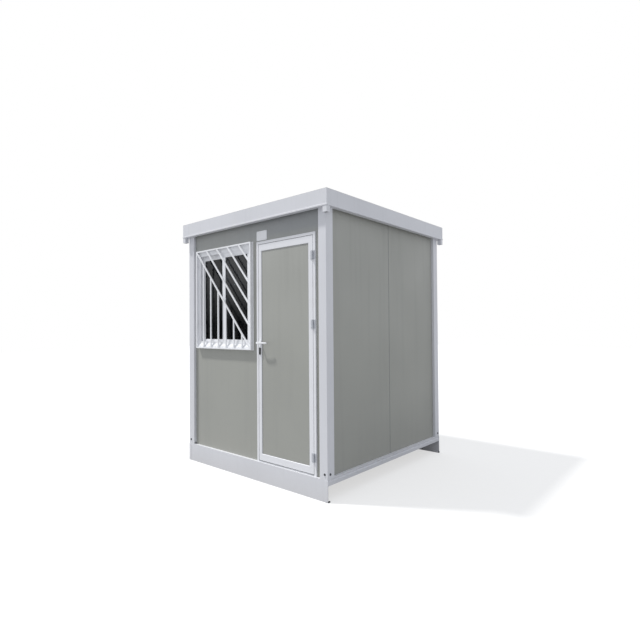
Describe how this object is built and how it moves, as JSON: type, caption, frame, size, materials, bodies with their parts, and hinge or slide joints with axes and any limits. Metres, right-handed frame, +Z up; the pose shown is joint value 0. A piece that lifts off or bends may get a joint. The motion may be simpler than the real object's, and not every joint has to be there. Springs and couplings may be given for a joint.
{
  "type": "security guard booth",
  "caption": "Square prefabricated guard booth with grey sandwich-panel walls, white steel frame, barred sliding window and a hinged door.",
  "frame": {"origin": "on the ground at the middle of the booth's plan", "axes": "+Z up, the wall with the window and the door faces -Y"},
  "size_m": [2.1, 2.1, 2.6],
  "materials": {
    "paint": "satin",
    "panel_grey": "satin",
    "white_profile": "satin",
    "threshold_metal": "satin",
    "hinge_metal": "satin",
    "glass": "gloss",
    "floor_wood": "matte"
  },
  "bodies": {
    "booth": {"front_base_beam": "paint", "rear_base_beam": "paint", "left_side_rail": "paint", "right_side_rail": "paint", "front_left_post": "paint", "front_right_post": "paint", "rear_left_post": "paint", "rear_right_post": "paint", "front_fascia": "paint", "rear_fascia": "paint", "left_fascia": "paint", "right_fascia": "paint", "rainwater_outlets": "paint", "floor_joists": "paint", "front_window_panel": "panel_grey", "front_panel_over_door": "panel_grey", "front_panel_beside_door": "panel_grey", "right_wall_panel_front": "panel_grey", "right_wall_panel_rear": "panel_grey", "left_wall_panel_front": "panel_grey", "left_wall_panel_rear": "panel_grey", "rear_wall_panel_left": "panel_grey", "rear_wall_panel_right": "panel_grey", "left_roof_panel": "panel_grey", "right_roof_panel": "panel_grey", "window_casing": "white_profile", "window_sill": "white_profile", "window_frame": "white_profile", "left_sash": "white_profile", "right_sash": "white_profile", "window_grille": "white_profile", "door_frame_left_jamb": "white_profile", "door_frame_right_jamb": "white_profile", "door_frame_head": "white_profile", "door_threshold": "threshold_metal", "hinge_frame_leaves": "hinge_metal", "left_glass_pane": "glass", "right_glass_pane": "glass", "floor_board": "floor_wood"},
    "door": {"door_leaf_frame": "white_profile", "door_infill_panel": "panel_grey", "hinge_door_leaves": "hinge_metal", "handle_roses": "white_profile", "lock_escutcheons": "white_profile"},
    "handle": {"lever_handle": "white_profile"}
  },
  "joints": [
    {"name": "door_swing", "type": "hinge", "parent": "booth", "child": "door", "pos_m": [0.8355, -0.9935, 1.2], "axis": [0, 0, 1], "range_deg": [0, 165]},
    {"name": "lever_turn", "type": "hinge", "parent": "door", "child": "handle", "pos_m": [0.162, -0.965, 1.309], "axis": [0, 1, 0], "range_deg": [0, 40], "stiffness_Nm_per_rad": 1, "springref_deg": -20.05}
  ]
}
